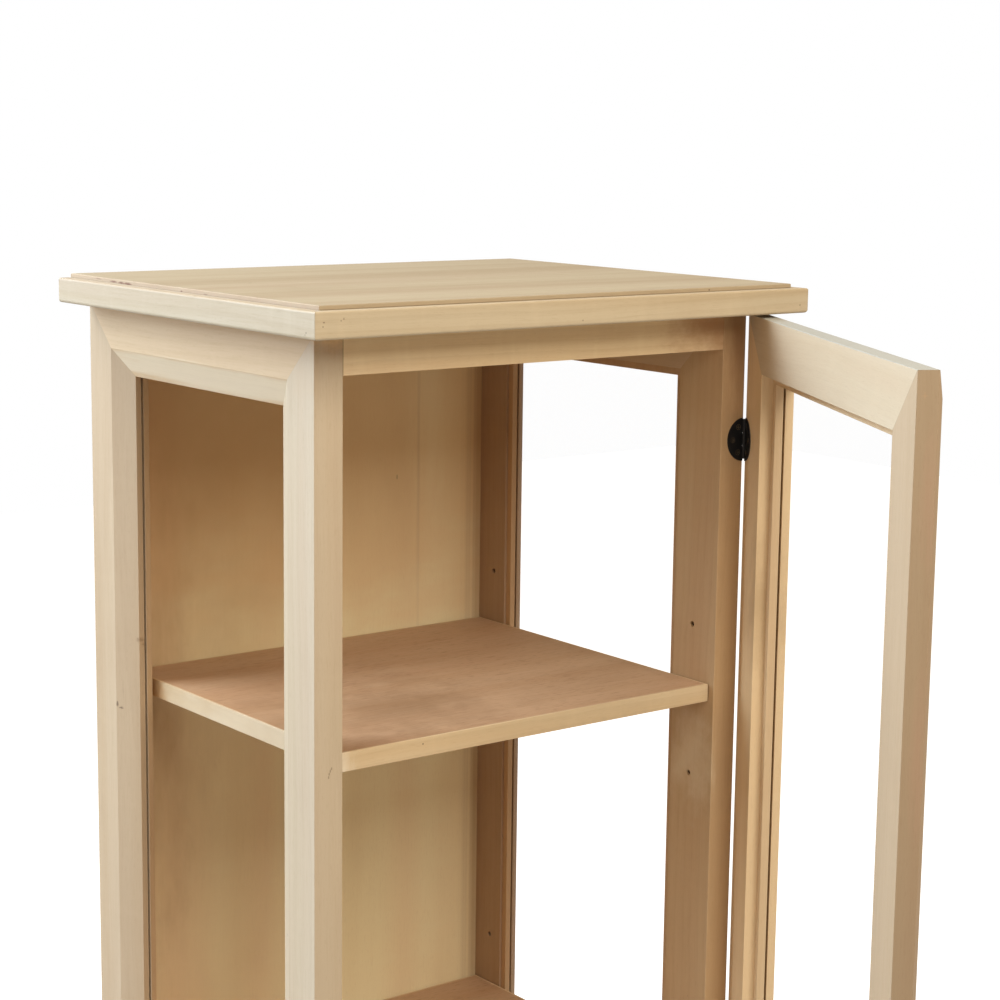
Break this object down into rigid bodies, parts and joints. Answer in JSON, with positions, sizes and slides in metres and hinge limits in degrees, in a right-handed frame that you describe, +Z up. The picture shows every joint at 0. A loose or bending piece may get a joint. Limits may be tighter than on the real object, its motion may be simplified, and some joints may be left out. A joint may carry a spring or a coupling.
{
  "type": "display cabinet",
  "caption": "Tall narrow display cabinet with glazed mitred side frames, overhanging top and base boards, adjustable shelves and a glazed door on half-moon hinges.",
  "frame": {"origin": "on the floor, under the middle of the base board", "axes": "+Z up, the front with the door faces -Y, +X to the right as seen from the front"},
  "size_m": [0.5, 0.754, 1.5],
  "materials": {
    "light_wood": "sanded, unfinished",
    "panel_wood": "sanded, unfinished",
    "shelf_veneer": "sanded veneer",
    "clear_glass": "clear, polished",
    "black_metal": "satin black",
    "black_plastic": "matt black",
    "bright_steel": "zinc plated",
    "white_plastic": "matt"
  },
  "bodies": {
    "cabinet": {"top_edge_front": "light_wood", "top_edge_back": "light_wood", "top_edge_left": "light_wood", "top_edge_right": "light_wood", "top_panel": "panel_wood", "base_edge_front": "light_wood", "base_edge_back": "light_wood", "base_edge_left": "light_wood", "base_edge_right": "light_wood", "base_panel": "panel_wood", "floor_board": "panel_wood", "left_front_stile": "light_wood", "left_rear_stile": "light_wood", "left_top_rail": "light_wood", "left_bottom_rail": "light_wood", "left_glass": "clear_glass", "left_beads": "light_wood", "right_front_stile": "light_wood", "right_rear_stile": "light_wood", "right_top_rail": "light_wood", "right_bottom_rail": "light_wood", "right_glass": "clear_glass", "right_beads": "light_wood", "front_top_rail": "light_wood", "front_bottom_rail": "light_wood", "rail_dowels": "light_wood", "back_panel": "panel_wood", "back_beads": "light_wood", "shelf_top_pins": "black_plastic", "shelf_middle_pins": "black_plastic", "shelf_bottom_pins": "black_plastic", "hinge_top_post_leaf": "black_metal", "hinge_middle_post_leaf": "black_metal", "hinge_bottom_post_leaf": "black_metal", "hinge_pins": "black_metal", "hinge_post_screws": "black_metal", "catch_housing": "white_plastic", "catch_magnet": "bright_steel", "catch_screws": "bright_steel"},
    "door": {"door_hinge_stile": "light_wood", "door_free_stile": "light_wood", "door_top_rail": "light_wood", "door_bottom_rail": "light_wood", "door_glass": "clear_glass", "door_beads": "light_wood", "hinge_top_door_leaf": "black_metal", "hinge_middle_door_leaf": "black_metal", "hinge_bottom_door_leaf": "black_metal", "hinge_door_screws": "black_metal", "door_knob": "light_wood", "knob_screw": "bright_steel", "strike_plate": "bright_steel", "strike_screws": "bright_steel"},
    "shelf_top": {"shelf_top_board": "shelf_veneer", "shelf_top_edging": "light_wood"},
    "shelf_middle": {"shelf_middle_board": "shelf_veneer", "shelf_middle_edging": "light_wood"},
    "shelf_bottom": {"shelf_bottom_board": "shelf_veneer", "shelf_bottom_edging": "light_wood"}
  },
  "joints": [
    {"name": "door_swing", "type": "hinge", "parent": "cabinet", "child": "door", "pos_m": [0.2221, -0.15695, 0.75], "axis": [0, 0, 1], "range_deg": [-61, 109]},
    {"name": "shelf_top_lift", "type": "slide", "parent": "cabinet", "child": "shelf_top", "axis": [0, 0, 1], "range_m": [0, 0.02]},
    {"name": "shelf_middle_lift", "type": "slide", "parent": "cabinet", "child": "shelf_middle", "axis": [0, 0, 1], "range_m": [0, 0.02]},
    {"name": "shelf_bottom_lift", "type": "slide", "parent": "cabinet", "child": "shelf_bottom", "axis": [0, 0, 1], "range_m": [0, 0.02]}
  ]
}
